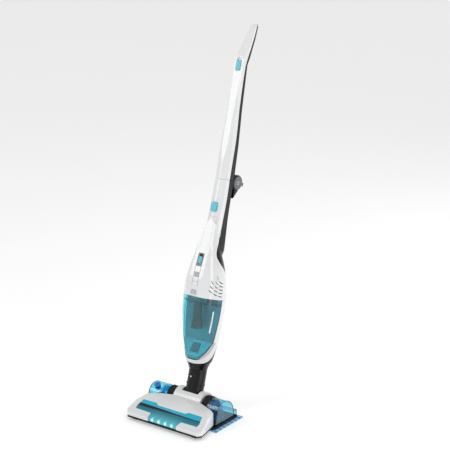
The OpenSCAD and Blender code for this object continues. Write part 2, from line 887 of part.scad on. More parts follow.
// Nested curved vents, each cut through in dashes, with the longest at the back
module vent_slots() {
  last = 96;
  for (k = [0 : 4]) {
    r = 60 - 9.5 * k;
    long = 1030 / r;
    short = 690 / r;
    pitch = short + 230 / r;
    along_x(200) ring_part(r, last - long, last);
    for (n = [1 : k < 3 ? 2 : 1])
      along_x(200) ring_part(r, last - long - n * pitch, last - long - n * pitch + short);
  }
}

module hand_chassis() {
  color(white) in_stick() difference() {
    union() {
      intersection() {
        body_form(0);
        along_x(300) hand_side(-part_gap);
        block(-80, 80, -130, 80, 180, cup_top);
      }
      belly(-0.3);
    }
    along_x(300) cup_side(-slip);
    along_x(71) polygon([[-19.3, 194.6], [belly_v - 2.7, 194.6], [belly_v - 2.7, 319],
      [-14, 333], [-20, 333], [-20, 306]]);
    block(-80, 80, -130, -14, cup_top + 0.01, 400);
    nozzle_room(0);
  }
}

module nozzle_room(g) {
  along_x(300) polygon([[-60, 100], [20, 100], [20, 179 + g], [-60, 179 + g]]);
}

module nozzle_panel() {
  color([0.82, 0.82, 0.83]) in_stick() difference() {
    intersection() {
      body_form(0);
      along_x(300) hand_side(-part_gap);
      nozzle_room(0);
    }
    along_x(300) cup_side(-slip);
    // Air mouth
    translate([0, -24, 156]) rotate([-22, 0, 0]) block(-12, 12, -40, 40, -11, 11);
  }
}

module hand_grip() {
  color(black) in_stick() intersection() {
    block(-grip_half, grip_half, -52, -44.5, 452, 537);
    along_x(40) polygon([[-52, 452], [-44.5, 458], [-44.5, 532], [-52, 537]]);
  }
}

module dust_cup() {
  color(teal) in_stick() difference() {
    intersection() {
      body_form(0);
      along_x(300) cup_side(0);
      along_x(300) hand_side(-part_gap);
    }
    intersection() {
      body_form(cup_wall);
      along_x(300) cup_side(cup_wall);
      along_x(300) hand_side(-part_gap - cup_wall);
    }
    translate([0, -24, 156]) rotate([-22, 0, 0]) block(-11, 11, -24, 40, -10, 10);
  }
}

module cup_button() {
  color(grey) in_stick() block(-9, 9, -93, -83, 312, 324);
}

module on_cup_axis() {
  translate([0, -59, cup_top]) rotate([bulge_tilt, 0, 0]) children();
}

module separator() {
  color(black) in_stick() {
    difference() {
      intersection() {
        body_form(cup_wall + 0.3);
        along_x(300) cup_side(cup_wall + 0.3);
        block(-80, 80, -130, 80, 288, 291);
      }
      on_cup_axis() translate([0, 0, -40]) cylinder(r = 10, h = 60);
    }
    on_cup_axis() rotate_extrude() polygon([[10, -17], [12, -17], [12, -58], [14, -70],
      [16.5, -92], [15, -92], [8, -74], [2, -88], [0, -88], [0, -60], [10, -60]]);
  }
}

module filter_core() {
  color([0.85, 0.86, 0.84]) in_stick() intersection() {
    translate([0, -57, 291]) difference() {
      cylinder(r = 23, h = 14.6);
      translate([0, 0, -1]) cylinder(r = 14, h = 12);
    }
    body_form(cup_wall + 0.5);
  }
}

module inlet_flap() {
  color(black) in_stick() translate([0, -29.6, 170]) rotate([-22.2, 0, 0]) {
    block(-12, 12, -1, 0, -27, 0);
    rod_x(0.9, -12, 12, -0.6, 0.2);
  }
}

module suction_motor() {
  color(steel) in_stick() difference() {
    translate([0, motor_v, 0]) {
      translate([0, 0, 322]) cylinder(r = 20, h = 36);
      translate([0, 0, 358]) cylinder(r = 12, h = 10);
    }
    translate([0, motor_v, 310]) cylinder(r = 2.5 + run_gap, h = 30);
  }
}

module motor_mount() {
  color(black) in_stick() difference() {
    intersection() {
      body_form(wall + 0.15);
      along_x(300) hand_side(-part_gap - wall - 0.15);
      block(-80, 80, -130, 80, 336, 341);
    }
    translate([0, motor_v, 300]) cylinder(r = 20.05, h = 60);
    for (x = [-38, 38]) translate([x, -46, 300]) cylinder(r = 8, h = 60);
    belly(0.2);
  }
}

module impeller() {
  color(grey) in_stick() translate([0, motor_v, 0]) {
    translate([0, 0, 312]) cylinder(r = 2.5, h = 26);
    translate([0, 0, 318]) cylinder(r = 19.5, h = 1.5);
    for (k = [0 : 7]) rotate([0, 0, 45 * k]) block(5, 19, -0.6, 0.6, 312, 318);
    translate([0, 0, 312]) cylinder(r = 6, h = 6);
  }
}

module battery_cells() {
  color([0.15, 0.45, 0.6]) in_stick() for (x = [-19, 0, 19])
    for (y = [-9.9, 8.6]) translate([x, y, 194.6]) cylinder(r = 9.1, h = 65);
}

module circuit_board() {
  color(green) in_stick() {
    block(-30, 30, -9, -7.4, 259.6, 312);
    for (x = [-18, 2, 16]) block(x - 4, x + 4, -7.4, -2, 275, 287);
    block(-10, 10, -7.4, -4, 294, 304);
  }
}

module power_slider() {
  color(aqua) in_stick() on_panel() {
    front_plate(11.6, 20, 3.4, -2.6, 3, -2);
    for (z = [-8, -4, 0, 4]) block(-4.6, 4.6, -3.4, -2.6, z - 0.8, z + 0.8);
  }
}

module panel_plate() {
  color(grey) in_stick() difference() {
    intersection() {
      body_form(0);
      block(-9.9, 9.9, -130, -70, 338.1, 429.9);
    }
    body_form(1.2);
    on_panel() front_plate(12.4, 28.8, 3.8, -6, 8, 2);
  }
}

// ---------------------------------------------------------------- mop module

module mop_plate() {
  color(black) in_head() difference() {
    block(-128, 128, -70, 46, cloth_thickness, plate_top);
    both_sides() block(92, 112, -25, -5, 0, 20);
    both_sides() translate([127, -70, 0]) rotate([0, 0, 45]) cube([8, 8, 40], center = true);
    both_sides() translate([128, 46, 0]) rotate([0, 0, 45]) cube([8, 8, 40], center = true);
  }
}

module tank_side(g) {
  top = plate_top + tank_height;
  line = [[-57, plate_top], [-52, top - 34], [-45, top - 14], [-33, top - 3], [-18, top],
    [-3, top - 2], [12, top - 10], [23, top - 23], [29, top - 40], [31, plate_top]];
  intersection() {
    polygon(aside(bend(line, 3), g));
    translate([-100, plate_top + g]) square([200, 100]);
  }
}

// The back edge of the head cover, at x across
function cover_edge(x) = rear_y + (side_rear_y - rear_y) * (x - fender_half)
  / (rear_half - fender_half);

module lobe_plan(g) {
  polygon([[83 + g, cover_edge(83) + 3.1 + g], [116 + 0.3 * g, cover_edge(116) + 2.44 + g],
    [124 - g, max(-57, cover_edge(124) + 2.44) + g], [124 - g, 40], [83 + g, 40]]);
}

module tank_solid(g) {
  both_sides() intersection() {
    along_x(400) tank_side(g);
    linear_extrude(100) lobe_plan(g);
  }
  difference() {
    block(-124 + g, 124 - g, 30 + g, 44 - g, plate_top + g, plate_top + 16 - g);
    rod_x(fender_out + 1 + g, -fender_half - 1 - g, fender_half + 1 + g, 0, axle_z);
  }
}

module on_cap() {
  top = plate_top + tank_height;
  translate([-103, -32, top - 2.6]) rotate([20, 0, 0]) children();
}

module mop_tank() {
  color(clear_blue) in_head() difference() {
    tank_solid(0);
    tank_solid(2);
    both_sides() block(92, 112, -25, -5, 0, plate_top + 3);
    on_cap() translate([0, 0, -10]) cylinder(r = 7 + run_gap, h = 20);
  }
}

module tank_cap() {
  color([0.12, 0.42, 0.78]) in_head() on_cap() {
    translate([0, 0, 1.8]) cylinder(r = 9.5, h = 4);
    translate([0, 0, -5]) cylinder(r = 7, h = 7);
    block(-1.5, 1.5, -8, 8, 5.8, 7.4);
  }
}

module mop_wicks() {
  color([0.9, 0.9, 0.86]) in_head() both_sides()
    block(92.2, 111.8, -24.8, -5.2, cloth_thickness, plate_top + 3);
}

module mop_clips() {
  color(grey) in_head() both_sides()
    block(53, 67, -66, -58, plate_top, plate_top + 8);
}

module mop_cloth() {
  color([0.45, 0.75, 0.9]) in_head()
    block(-cloth_length / 2, cloth_length / 2, -76, -76 + cloth_depth, 0, cloth_thickness);
}

head_base();
head_cover();
head_window();
window_trim();
front_bumper();
led_board();
led_lamps();
brush_core();
brush_bristles();
brush_pulley();
drive_belt();
brush_motor();
motor_pulley();
head_duct();
wheel_hub_left();
wheel_hub_right();
wheel_tyre_left();
wheel_tyre_right();
pivot_pins();
front_roller_left();
front_roller_right();
neck_yoke();
neck_tube();
swivel_ring();
base_socket();
frame_front();
frame_back();
release_button();
release_spring();
hinge_bracket();
frame_contacts();
case_screws();
handle_front();
handle_back();
handle_slider();
hinge_knuckle();
hinge_pin();
fold_lever();
hand_shell();
hand_chassis();
hand_grip();
nozzle_panel();
dust_cup();
cup_button();
separator();
filter_core();
inlet_flap();
suction_motor();
motor_mount();
impeller();
battery_cells();
circuit_board();
power_slider();
panel_plate();
mop_plate();
mop_tank();
tank_cap();
mop_wicks();
mop_clips();
mop_cloth();
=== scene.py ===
"""Looks of the wet dry floor scrubber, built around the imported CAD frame. Lengths are in metres."""

import json
import math
import random

import bmesh
import bpy
from mathutils import Matrix, Vector
from mathutils.bvhtree import BVHTree

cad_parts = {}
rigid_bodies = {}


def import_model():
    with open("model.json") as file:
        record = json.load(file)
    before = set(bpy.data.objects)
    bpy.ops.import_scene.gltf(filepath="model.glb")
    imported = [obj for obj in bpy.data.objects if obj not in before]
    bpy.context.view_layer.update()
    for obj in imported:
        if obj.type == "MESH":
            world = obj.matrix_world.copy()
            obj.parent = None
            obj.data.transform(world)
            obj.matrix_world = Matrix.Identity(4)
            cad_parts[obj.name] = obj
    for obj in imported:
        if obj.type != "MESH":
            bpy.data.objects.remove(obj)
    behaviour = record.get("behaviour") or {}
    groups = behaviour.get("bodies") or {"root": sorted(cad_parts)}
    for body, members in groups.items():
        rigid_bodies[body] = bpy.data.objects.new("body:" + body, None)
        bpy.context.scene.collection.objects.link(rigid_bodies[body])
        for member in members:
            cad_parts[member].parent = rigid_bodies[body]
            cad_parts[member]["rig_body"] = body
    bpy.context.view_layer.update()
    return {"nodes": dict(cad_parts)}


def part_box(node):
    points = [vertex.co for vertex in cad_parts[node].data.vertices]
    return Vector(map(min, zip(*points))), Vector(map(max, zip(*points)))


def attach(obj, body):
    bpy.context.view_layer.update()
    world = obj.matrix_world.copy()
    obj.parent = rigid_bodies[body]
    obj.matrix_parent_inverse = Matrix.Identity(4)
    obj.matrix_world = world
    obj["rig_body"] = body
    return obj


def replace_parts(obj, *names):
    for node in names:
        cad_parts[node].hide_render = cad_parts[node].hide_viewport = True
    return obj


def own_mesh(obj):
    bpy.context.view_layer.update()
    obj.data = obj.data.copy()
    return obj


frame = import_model()
random.seed(11)
scene = bpy.context.scene

# Frames of the two main assemblies, as in the part's source
LEAN = math.radians(17)
CENTRE_Y = 0.0796253
AXLE_Z = 0.0385
STICK = Matrix.Translation((0, -CENTRE_Y, AXLE_Z)) @ Matrix.Rotation(-LEAN, 4, "X")
HEAD = Matrix.Translation((0, -CENTRE_Y, 0))
STICK_UP = STICK.to_3x3() @ Vector((0, 0, 1))
STICK_BACK = STICK.to_3x3() @ Vector((0, 1, 0))
SIDES = ((-1, "left"), (1, "right"))


def in_head(x, y, z):
    """A place given in millimetres from the tilt pivot and the floor."""
    return HEAD @ (Vector((x, y, z)) / 1000)


def in_stick(x, v, s):
    """A place given in millimetres across, behind and along the stick."""
    return STICK @ (Vector((x, v, s)) / 1000)


# ------------------------------------------------------------------ camera and light
AZIMUTH, ELEVATION = math.radians(36), math.radians(18)
DISTANCE, LENS, SENSOR = 4.4, 122.8, 36
OBJECT_MIDDLE = Vector((0, -0.0796, 0.55))
ROOM_ON_RIGHT = 0.0928
LIGHT_TARGET = Vector((0, -0.05, 0.5))
WHITE = (1, 1, 1, 1)


def make_camera():
    right = Vector((math.cos(AZIMUTH), math.sin(AZIMUTH), 0))
    aim = OBJECT_MIDDLE + right * ROOM_ON_RIGHT
    flat = math.cos(ELEVATION)
    back = Vector((math.sin(AZIMUTH) * flat, -math.cos(AZIMUTH) * flat, math.sin(ELEVATION)))
    camera = bpy.data.objects.new("camera", bpy.data.cameras.new("camera"))
    scene.collection.objects.link(camera)
    camera.data.lens = LENS
    camera.data.sensor_fit = "VERTICAL"
    camera.data.sensor_height = SENSOR
    camera.location = aim + back * DISTANCE
    camera.rotation_euler = back.to_track_quat("Z", "Y").to_euler()
    scene.camera = camera


def softbox(name, place, width, height, power):
    light = bpy.data.objects.new(name, bpy.data.lights.new(name, "AREA"))
    light.data.shape = "RECTANGLE"
    light.data.size, light.data.size_y = width, height
    light.data.energy = power
    light.location = place
    light.rotation_euler = (Vector(place) - LIGHT_TARGET).to_track_quat("Z", "Y").to_euler()
    scene.collection.objects.link(light)


def make_studio():
    softbox("key", (-1.5, -2.0, 1.9), 0.9, 1.8, 15)
    softbox("fill", (2.4, -0.9, 1.0), 0.7, 2.0, 12)
    softbox("rim", (0.9, 2.2, 1.4), 0.8, 1.6, 14)
    softbox("top", (0.2, -0.3, 3.0), 1.4, 1.4, 10)
    scene.world = bpy.data.worlds.new("studio")
    scene.world.use_nodes = True
    background = scene.world.node_tree.nodes["Background"]
    background.inputs["Color"].default_value = WHITE
    background.inputs["Strength"].default_value = 0.52
    scene.view_settings.view_transform = "Standard"


make_camera()
make_studio()


# ------------------------------------------------------------------ material helpers
class Look:
    """A procedural material under construction."""

    def __init__(self, name, **sockets):
        self.m = bpy.data.materials.new(name)
        self.m.use_nodes = True
        self.t = self.m.node_tree
        self.shader = self.t.nodes["Principled BSDF"]
        self.place = self.node("ShaderNodeTexCoord").outputs["Object"]
        for key, value in sockets.items():
            self.set(key.replace("_", " "), value)

    def node(self, kind, **props):
        n = self.t.nodes.new(kind)
        for key, value in props.items():
            setattr(n, key, value)
        return n

    def link(self, a, b):
        self.t.links.new(a, b)

    def set(self, socket, value):
        names = {s.name.lower(): s for s in self.shader.inputs}
        names[socket.lower()].default_value = value

    def drive(self, socket, source):
        self.link(source, self.shader.inputs[socket])

    def math(self, operation, a, b=None):
        n = self.node("ShaderNodeMath", operation=operation)
        for k, v in enumerate((a, b)):
            if v is None:
                continue
            if isinstance(v, (int, float)):
                n.inputs[k].default_value = v
            else:
                self.link(v, n.inputs[k])
        return n.outputs[0]

    def add(self, a, b):
        return self.math("ADD", a, b)

    def sub(self, a, b):
        return self.math("SUBTRACT", a, b)

    def mul(self, a, b):
        return self.math("MULTIPLY", a, b)

    def size(self, a):
        return self.math("ABSOLUTE", a)

    def square(self, a):
        return self.math("POWER", a, 2)

    def fade(self, a, rate):
        """1 where a is 0, falling off as a grows."""
        return self.math("EXPONENT", self.mul(a, -rate))

    def noise(self, scale, detail=2.0, rough=0.5, stretch=None):
        n = self.node("ShaderNodeTexNoise")
        n.inputs["Scale"].default_value = scale
        n.inputs["Detail"].default_value = detail
        n.inputs["Roughness"].default_value = rough
        place = self.place
        if stretch:
            mapping = self.node("ShaderNodeMapping")
            mapping.inputs["Scale"].default_value = stretch
            self.link(place, mapping.inputs["Vector"])
            place = mapping.outputs[0]
        self.link(place, n.inputs["Vector"])
        return n.outputs["Fac"]

    def remap(self, value, low, high, start=0.25, end=0.75):
        n = self.node("ShaderNodeMapRange")
        self.link(value, n.inputs["Value"])
        for key, v in (("From Min", start), ("From Max", end), ("To Min", low), ("To Max", high)):
            n.inputs[key].default_value = v
        return n.outputs[0]

    def blend(self, factor, a, b):
        """Colour a where factor is 0, and b where it is 1."""
        n = self.node("ShaderNodeMix", data_type="RGBA")
        self.link(factor, n.inputs["Factor"])
        for name, v in (("A", a), ("B", b)):
            socket = [s for s in n.inputs if s.name == name and s.type == "RGBA"][0]
            if isinstance(v, tuple):
                socket.default_value = (*v, 1)
            else:
                self.link(v, socket)
        return [s for s in n.outputs if s.type == "RGBA"][0]

    def along(self, origin, direction):
        """Distance from origin along direction, for every point of the surface."""
        shift = self.node("ShaderNodeVectorMath", operation="SUBTRACT")
        self.link(self.place, shift.inputs[0])
        shift.inputs[1].default_value = origin
        dot = self.node("ShaderNodeVectorMath", operation="DOT_PRODUCT")
        self.link(shift.outputs[0], dot.inputs[0])
        dot.inputs[1].default_value = direction
        return dot.outputs["Value"]

    def step(self, value, start, end):
        """0 before start, 1 after end, smooth between."""
        n = self.node("ShaderNodeMapRange", interpolation_type="SMOOTHSTEP")
        self.link(value, n.inputs["Value"])
        n.inputs["From Min"].default_value, n.inputs["From Max"].default_value = start, end
        return n.outputs[0]

    def colour(self, source):
        self.drive("Base Color", source)
        return self

    def tint(self, colour, spread=0.04, scale=14):
        """The colour with a slow, faint drift in lightness."""
        low = tuple(c * (1 - spread) for c in colour)
        high = tuple(min(1, c * (1 + spread)) for c in colour)
        return self.colour(self.blend(self.remap(self.noise(scale, 3), 0, 1), low, high))

    def rough(self, low, high, scale=60, detail=4):
        self.drive("Roughness", self.remap(self.noise(scale, detail), low, high))
        return self

    def bump(self, height, strength, distance=0.0002):
        n = self.node("ShaderNodeBump")
        n.inputs["Strength"].default_value = strength
        n.inputs["Distance"].default_value = distance
        self.link(height, n.inputs["Height"])
        self.drive("Normal", n.outputs[0])
        return self


def gloss_plastic(name, colour, low=0.10, high=0.17, coat=0.5, ripple=0.05):
    """Injection moulded, polished: faint orange peel, and handling haze in the roughness."""
    look = Look(name, coat_weight=coat, coat_roughness=0.04, specular_ior_level=0.5)
    look.tint(colour, 0.02).rough(low, high, 35)
    return look.bump(look.noise(320, 2), ripple, 0.00012)


def grain_plastic(name, colour, low=0.36, high=0.5, grain=0.25, scale=2600):
    """Spark eroded mould texture: fine grain over a slow variation of sheen."""
    look = Look(name, specular_ior_level=0.35)
    look.tint(colour, 0.08, 30).rough(low, high, 90)
    return look.bump(look.noise(scale, 3, 0.6), grain, 0.00008)


def rubber(name, colour):
    look = Look(name, specular_ior_level=0.3)
    look.tint(colour, 0.15, 60).rough(0.62, 0.82, 180)
    return look.bump(look.noise(1500, 4, 0.65), 0.35, 0.00012)


def clear_plastic(name, colour, pigment=0.0, rough=0.0):
    """Tinted transparent moulding, with faint flow lines and a share of pigment that stays opaque."""
    look = Look(name, transmission_weight=1.0 - pigment, ior=1.46, coat_weight=0.3, coat_roughness=0.03)
    look.tint(colour, 0.05, 20).rough(rough, rough + 0.02, 25)
    return look.bump(look.noise(45, 2, 0.5, (1, 1, 0.35)), 0.03, 0.0003)


def metal(name, colour, low, high, stretch=None):
    look = Look(name, metallic=1.0)
    look.tint(colour, 0.05, 40).rough(low, high, 220)
    return look.bump(look.noise(880, 3, 0.6, stretch), 0.1, 0.00006)


def lamp():
    look = Look("lamp_white", emission_strength=9.0)
    look.set("emission color", (0.86, 0.95, 1.0, 1))
    return look.tint((0.9, 0.95, 1.0), 0.02).rough(0.1, 0.2, 400)


def felt():
    look = Look("felt", specular_ior_level=0.1, sheen_weight=0.6, sheen_roughness=0.5)
    look.tint((0.72, 0.72, 0.66), 0.12, 300).rough(0.85, 0.98, 500)
    return look.bump(look.noise(2200, 5, 0.7), 0.8, 0.0004)


def bristle():
    look = Look("bristle", specular_ior_level=0.5)
    look.tint((0.03, 0.42, 0.58), 0.25, 260).rough(0.28, 0.45, 700)
    return look.bump(look.noise(3000, 2), 0.1, 0.00005)


def filter_paper():
    look = Look("filter_paper", specular_ior_level=0.15, sheen_weight=0.3)
    look.tint((0.74, 0.75, 0.70), 0.07, 240).rough(0.8, 0.95, 600)
    return look.bump(look.noise(1800, 5, 0.7), 0.5, 0.0002)


def thread():
    look = Look("hem_thread", specular_ior_level=0.2, sheen_weight=0.5)
    look.tint((0.05, 0.30, 0.62), 0.2, 500).rough(0.6, 0.8, 900)
    return look.bump(look.noise(4000, 2), 0.4, 0.0001)


def print_ink():
    look = Look("print_white", specular_ior_level=0.4)
    look.tint((0.86, 0.88, 0.89), 0.03, 60).rough(0.35, 0.5, 400)
    return look.bump(look.noise(1600, 3), 0.15, 0.00005)


def striped_pile():
    """Microfibre in dark and pale stripes across the cloth, with wavering edges."""
    pitch = 0.0185
    look = Look("mop_stripe", specular_ior_level=0.12, sheen_weight=0.8, sheen_roughness=0.45)
    place = look.along(in_head(0, 0, 0), (0, 1, 0))
    waver = look.mul(look.noise(60, 2), 0.0022)
    phase = look.math("FRACT", look.math("DIVIDE", look.add(place, waver), pitch))
    band = look.mul(look.step(phase, 0.0, 0.08), look.sub(1.0, look.step(phase, 0.48, 0.56)))
    fibre = look.remap(look.noise(1400, 4, 0.7), 0, 1, 0.3, 0.7)
    dark = look.blend(fibre, (0.02, 0.20, 0.50), (0.06, 0.36, 0.72))
    pale = look.blend(fibre, (0.16, 0.44, 0.70), (0.34, 0.64, 0.86))
    look.colour(look.blend(band, pale, dark)).rough(0.82, 0.96, 500)
    return look.bump(look.noise(2400, 5, 0.75), 0.9, 0.0004)


def window_glass():
    """Painted from behind: a bright band, a dark stripe, and a deep band that the lamps light, where
    their spread light is a painted pool of emission on the glass.
    """
    lamp_pitch, lamp_radius = 0.023, 0.0032
    lamp_height, glow_height = 0.0205, 0.0034
    stripe_place, stripe_half, stripe_taper = 0.1105, 0.0012, 0.0032
    look = Look("window_glass", ior=1.46, coat_weight=0.35, coat_roughness=0.03, emission_strength=1.0)
    forward = look.along(in_head(0, 0, 0), (0, -1, 0))
    across = look.along((0, 0, 0), (1, 0, 0))
    up = look.along((0, 0, lamp_height), (0, 0, 1))
    far = look.size(across)

    taper = look.mul(look.sub(1.0, look.step(across, -0.1, 0.09)), stripe_taper)
    from_stripe = look.sub(forward, stripe_place)
    upper = look.math("LESS_THAN", from_stripe, 0.0)
    stripe = look.math("LESS_THAN", look.size(from_stripe), look.add(stripe_half, taper))
    haze = look.remap(look.noise(25, 3), 0, 1)
    bright = look.blend(haze, (0.0, 0.42, 0.62), (0.01, 0.54, 0.74))
    deep = look.blend(look.step(forward, 0.112, 0.142), (0.0, 0.17, 0.23), (0.0, 0.40, 0.50))
    look.colour(look.blend(stripe, look.blend(upper, deep, bright), (0.003, 0.003, 0.004)))

    cell = look.sub(look.math("FRACT", look.math("DIVIDE", across, lamp_pitch)), 0.5)
    sideways = look.square(look.mul(cell, lamp_pitch / lamp_radius))
    rise = look.square(look.math("DIVIDE", up, glow_height))
    spot = look.mul(look.fade(look.add(sideways, rise), 1.0), look.sub(1.0, look.step(far, 0.043, 0.052)))
    # Painted pool of lamp light: a faint, wide glow that the glass itself emits along the lamp row; the
    # spots above are the lamps.
    painted_lamp_pool = look.mul(look.fade(rise, 0.09), look.sub(1.0, look.step(far, 0.03, 0.075)))
    glow = look.add(look.mul(spot, 1.6), look.mul(painted_lamp_pool, 0.12))
    look.drive("Emission Color", look.blend(glow, (0, 0, 0), (0.72, 0.98, 1.0)))
    bare = look.sub(1.0, look.math("MAXIMUM", upper, stripe))
    look.drive("Transmission Weight", look.mul(bare, 0.06))
    return look.rough(0.04, 0.08, 30).bump(look.noise(45, 2), 0.04, 0.0003)


def panel_fields():
    """Switch panel: pale fields parted by grooves, a grey field between them, and a dark recess."""
    groove_half = 0.0005
    look = Look("panel_fields", coat_weight=0.3, coat_roughness=0.08)
    height = look.along(in_stick(0, 0, 0), STICK_UP)
    sideways = look.size(look.along((0, 0, 0), (1, 0, 0)))
    drift = look.remap(look.noise(40, 3), 0, 1)
    white = look.blend(drift, (0.84, 0.85, 0.86), (0.90, 0.91, 0.92))
    grey = look.blend(drift, (0.30, 0.31, 0.33), (0.34, 0.35, 0.37))
    field = look.mul(look.step(height, 0.3615, 0.3620), look.sub(1.0, look.step(height, 0.3755, 0.3760)))
    border = look.step(sideways, 0.0082, 0.0085)
    for groove in (0.3480, 0.3618, 0.3757, 0.3925):
        near = look.math("LESS_THAN", look.size(look.sub(height, groove)), groove_half)
        border = look.math("MAXIMUM", border, near)
    fields = look.blend(border, look.blend(field, white, grey), (0.36, 0.37, 0.39))
    recess = look.step(height, 0.3925, 0.3935)
    look.colour(look.blend(recess, fields, (0.10, 0.105, 0.115))).rough(0.16, 0.26, 60)
    return look.bump(look.noise(700, 3), 0.08, 0.0001)


looks = {
    "white_gloss": gloss_plastic("white_gloss", (0.83, 0.835, 0.84)),
    "black_satin": grain_plastic("black_satin", (0.006, 0.006, 0.007), 0.2, 0.3, 0.15),
    "black_rubber": rubber("black_rubber", (0.014, 0.014, 0.015)),
    "flap_rubber": rubber("flap_rubber", (0.03, 0.24, 0.30)),
    "grey_plastic": grain_plastic("grey_plastic", (0.15, 0.155, 0.165), 0.3, 0.42, 0.2),
    "pale_grey": gloss_plastic("pale_grey", (0.52, 0.54, 0.56), 0.2, 0.28, 0.2),
    "aqua_plastic": gloss_plastic("aqua_plastic", (0.03, 0.46, 0.62), 0.16, 0.24, 0.4),
    "clear_teal": clear_plastic("clear_teal", (0.24, 0.87, 0.96), pigment=0.015),
    "clear_blue": clear_plastic("clear_blue", (0.38, 0.84, 0.95)),
    "blue_clear": clear_plastic("blue_clear", (0.12, 0.42, 0.86), rough=0.08),
    "blue_plastic": gloss_plastic("blue_plastic", (0.03, 0.20, 0.62), 0.18, 0.26, 0.3),
    "cell_wrap": gloss_plastic("cell_wrap", (0.02, 0.18, 0.36), 0.3, 0.4, 0.1),
    "board_green": grain_plastic("board_green", (0.01, 0.13, 0.05), 0.3, 0.5, 0.15, 900),
    "steel": metal("steel", (0.62, 0.63, 0.65), 0.22, 0.38, (1, 1, 8)),
    "motor_metal": metal("motor_metal", (0.5, 0.51, 0.53), 0.32, 0.45),
    "contact_brass": metal("contact_brass", (0.72, 0.5, 0.2), 0.2, 0.34),
    "lamp_white": lamp(),
    "felt": felt(),
    "bristle": bristle(),
    "filter_paper": filter_paper(),
    "hem_thread": thread(),
    "print_white": print_ink(),
    "mop_stripe": striped_pile(),
    "window_glass": window_glass(),
    "panel_fields": panel_fields(),
}
# Nodes that don't take the look of their material slot
OWN_LOOK = {"head_window": "window_glass", "panel_plate": "panel_fields", "inlet_flap": "flap_rubber"}


def dress(obj, look):
    obj.data.materials.clear()
    obj.data.materials.append(looks[look].m)


# Slot of each CAD node, by the name of the material it came with
slots = {name: obj.data.materials[0].name.split(".")[0] for name, obj in frame["nodes"].items()}
for name, obj in frame["nodes"].items():
    dress(obj, OWN_LOOK.get(name, slots[name]))


# ------------------------------------------------------------------ rounded copies of the moulded parts
WELD = 0.00002
FLAT_ANGLE, EDGE_ANGLE = math.radians(0.6), math.radians(28)
EDGE_RADIUS = {
    "head_cover": 0.0009, "head_window": 0.0005, "window_trim": 0.0004, "head_base": 0.0005,
    "front_bumper": 0.0006, "neck_yoke": 0.0006, "neck_tube": 0.0005, "base_socket": 0.0005,
    "frame_front": 0.0005, "frame_back": 0.0005, "release_button": 0.0006,
    "hinge_bracket": 0.0005, "handle_front": 0.0005, "handle_back": 0.0005,
    "handle_slider": 0.0004, "hinge_knuckle": 0.0005, "hinge_pin": 0.0003,
    "fold_lever": 0.0005, "hand_shell": 0.0005, "hand_chassis": 0.0004, "hand_grip": 0.0007,
    "nozzle_panel": 0.0006, "dust_cup": 0.0004, "cup_button": 0.0006, "power_slider": 0.0003,
    "panel_plate": 0.0004, "mop_plate": 0.0006, "mop_tank": 0.0008, "tank_cap": 0.0005,
    "wheel_hub_left": 0.0006, "wheel_hub_right": 0.0006, "wheel_tyre_left": 0.0008,
    "wheel_tyre_right": 0.0008, "separator": 0.0004,
}


def add_object(name, mesh):
    obj = bpy.data.objects.new(name, mesh)
    scene.collection.objects.link(obj)
    return obj


def soften(obj, radius):
    """Bevelled edges, with shading that keeps the flats flat."""
    bevel = obj.modifiers.new("edges", "BEVEL")
    bevel.width = radius
    bevel.segments = 2
    bevel.limit_method = "ANGLE"
    bevel.angle_limit = EDGE_ANGLE
    bevel.miter_outer = "MITER_ARC"
    obj.modifiers.new("normals", "WEIGHTED_NORMAL").keep_sharp = True


def skin(node, radius):
    """A copy of a CAD node with softened edges, which stands for it."""
    source = frame["nodes"][node]
    mesh = source.data.copy()
    obj = add_object(node + "_skin", mesh)
    if mesh.has_custom_normals:
        bpy.context.view_layer.objects.active = obj
        with bpy.context.temp_override(object=obj, active_object=obj, selected_objects=[obj]):
            bpy.ops.mesh.customdata_custom_splitnormals_clear()
    b = bmesh.new()
    b.from_mesh(mesh)
    bmesh.ops.remove_doubles(b, verts=b.verts, dist=WELD)
    bmesh.ops.dissolve_limit(b, angle_limit=FLAT_ANGLE, verts=b.verts, edges=b.edges)
    for f in b.faces:
        f.smooth = True
    b.to_mesh(mesh)
    b.free()
    soften(obj, radius)
    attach(obj, source["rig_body"])
    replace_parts(obj, node)
    dress(obj, OWN_LOOK.get(node, slots[node]))


for node, radius in EDGE_RADIUS.items():
    skin(node, radius)


# ------------------------------------------------------------------ helpers for modelled pieces
def piece(name, verts, faces, body, slot, look=None, smooth=True):
    mesh = bpy.data.meshes.new(name)
    mesh.from_pydata([tuple(v) for v in verts], [], faces)
    mesh.validate()
    obj = add_object(name, mesh)
    b = bmesh.new()
    b.from_mesh(mesh)
    bmesh.ops.recalc_face_normals(b, faces=b.faces)
    for f in b.faces:
        f.smooth = smooth
    b.to_mesh(mesh)
    b.free()
    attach(obj, body)
    dress(obj, look or slot)
    return obj


def shifted(faces, count):
    return [tuple(v + count for v in f) for f in faces]


def circle(count):
    return [2 * math.pi * k / count for k in range(count)]


def grid_faces(rows, columns, closed_rows=False, closed_columns=False):
    """Quads of a grid of points stored row by row."""
    faces = []
    for i in range(rows if closed_rows else rows - 1):
        for j in range(columns if closed_columns else columns - 1):
            a, b = i * columns + j, i * columns + (j + 1) % columns
            c, d = ((i + 1) % rows) * columns + (j + 1) % columns, ((i + 1) % rows) * columns + j
            faces.append((a, b, c, d))
    return faces


def slab_faces(rows, columns):
    """Faces of a closed slab: one grid of points and then another, joined round the rim."""
    count = rows * columns
    rim = list(range(columns))
    rim += [(i + 1) * columns - 1 for i in range(1, rows)]
    rim += [(rows - 1) * columns + j for j in range(columns - 2, -1, -1)]
    rim += [i * columns for i in range(rows - 2, 0, -1)]
    faces = grid_faces(rows, columns)
    faces += shifted(faces, count)
    return faces + [(a, b, b + count, a + count) for a, b in zip(rim, rim[1:] + rim[:1])]


